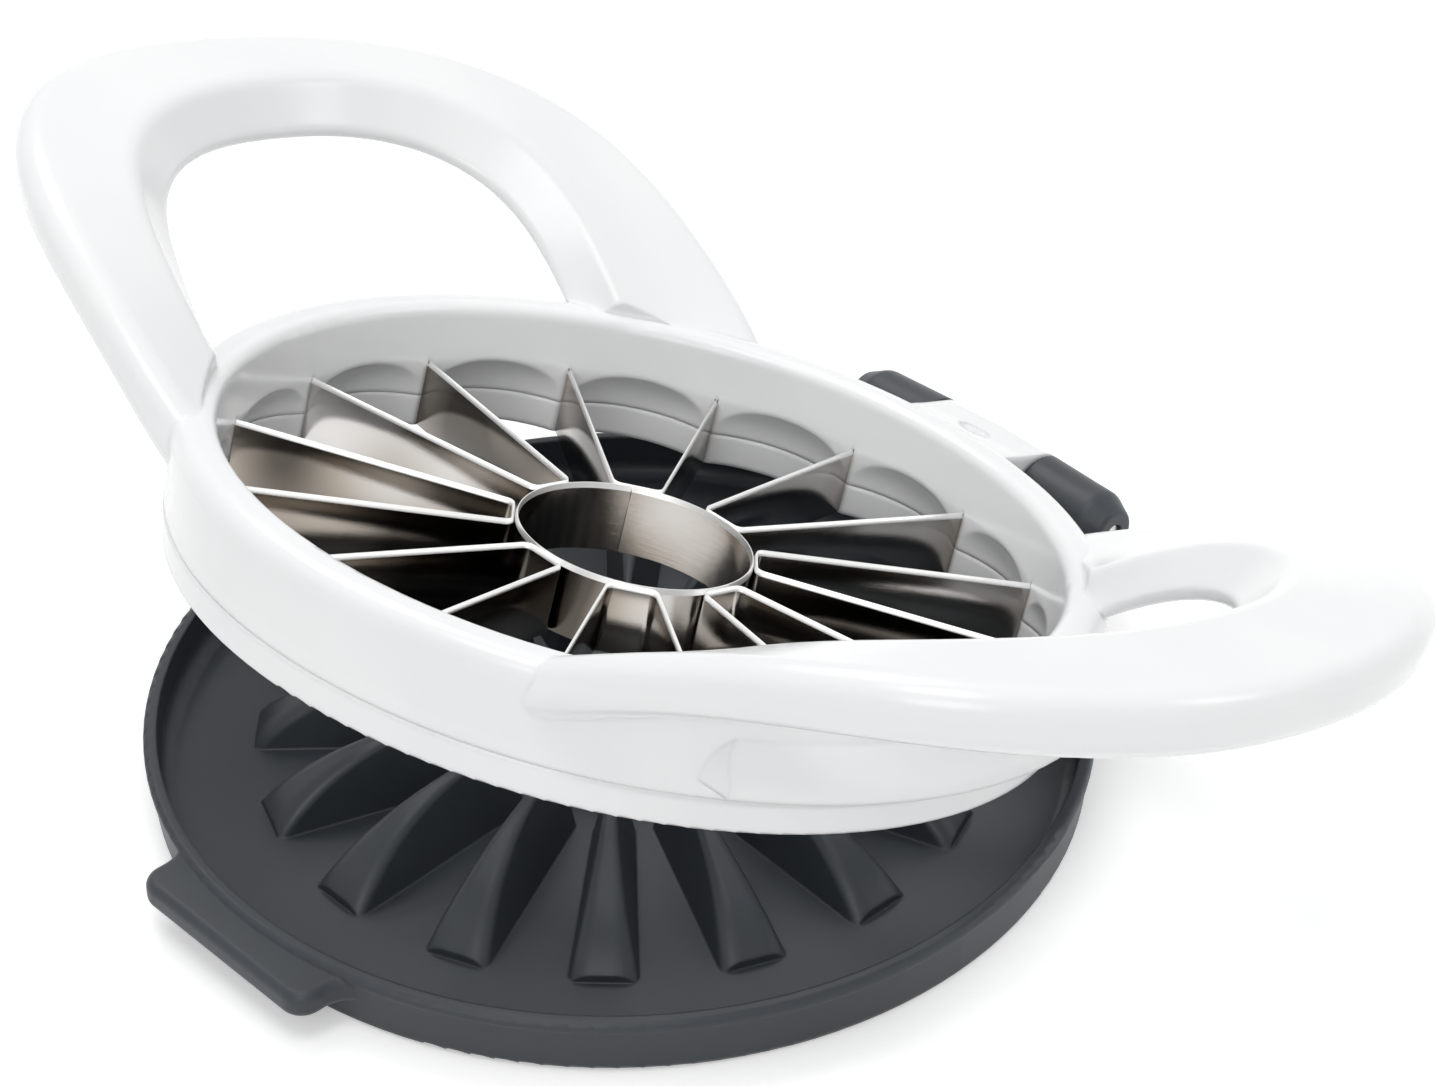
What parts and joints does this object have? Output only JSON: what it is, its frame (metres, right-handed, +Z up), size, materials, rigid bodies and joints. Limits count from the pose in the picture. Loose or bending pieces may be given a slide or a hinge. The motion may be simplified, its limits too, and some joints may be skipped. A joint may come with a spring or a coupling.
{
  "type": "apple slicer wedger press",
  "caption": "Hinged fruit slicing press: a ring with loop handles carries steel blades round a corer, over a ribbed tray that pushes the slices through.",
  "frame": {"origin": "centre of the flat underside of the tray, on the table", "axes": "+Z up, +X along the hinge axis, -Y towards the thumb tab, +Y towards the hinge; the press is drawn standing partly open"},
  "size_m": [0.1956, 0.137, 0.0695],
  "materials": {
    "frame_plastic": "glossy white",
    "tray_plastic": "satin anthracite",
    "pin_plastic": "pale satin",
    "blade_steel": "brushed, with bright ground edges"
  },
  "bodies": {
    "base": {"base_tray": "tray_plastic", "hinge_pin": "pin_plastic"},
    "frame": {"upper_frame": "frame_plastic", "lower_ring": "frame_plastic", "corer_ring": "blade_steel", "blade_pair_1": "blade_steel", "blade_pair_2": "blade_steel", "blade_pair_3": "blade_steel", "blade_pair_4": "blade_steel", "blade_pair_5": "blade_steel", "blade_pair_6": "blade_steel", "blade_pair_7": "blade_steel", "blade_pair_8": "blade_steel"}
  },
  "joints": [
    {"name": "press_hinge", "type": "hinge", "parent": "base", "child": "frame", "pos_m": [0, 0.067, 0.0122], "axis": [-1, 0, 0], "range_deg": [-17.6, 97.4]}
  ]
}
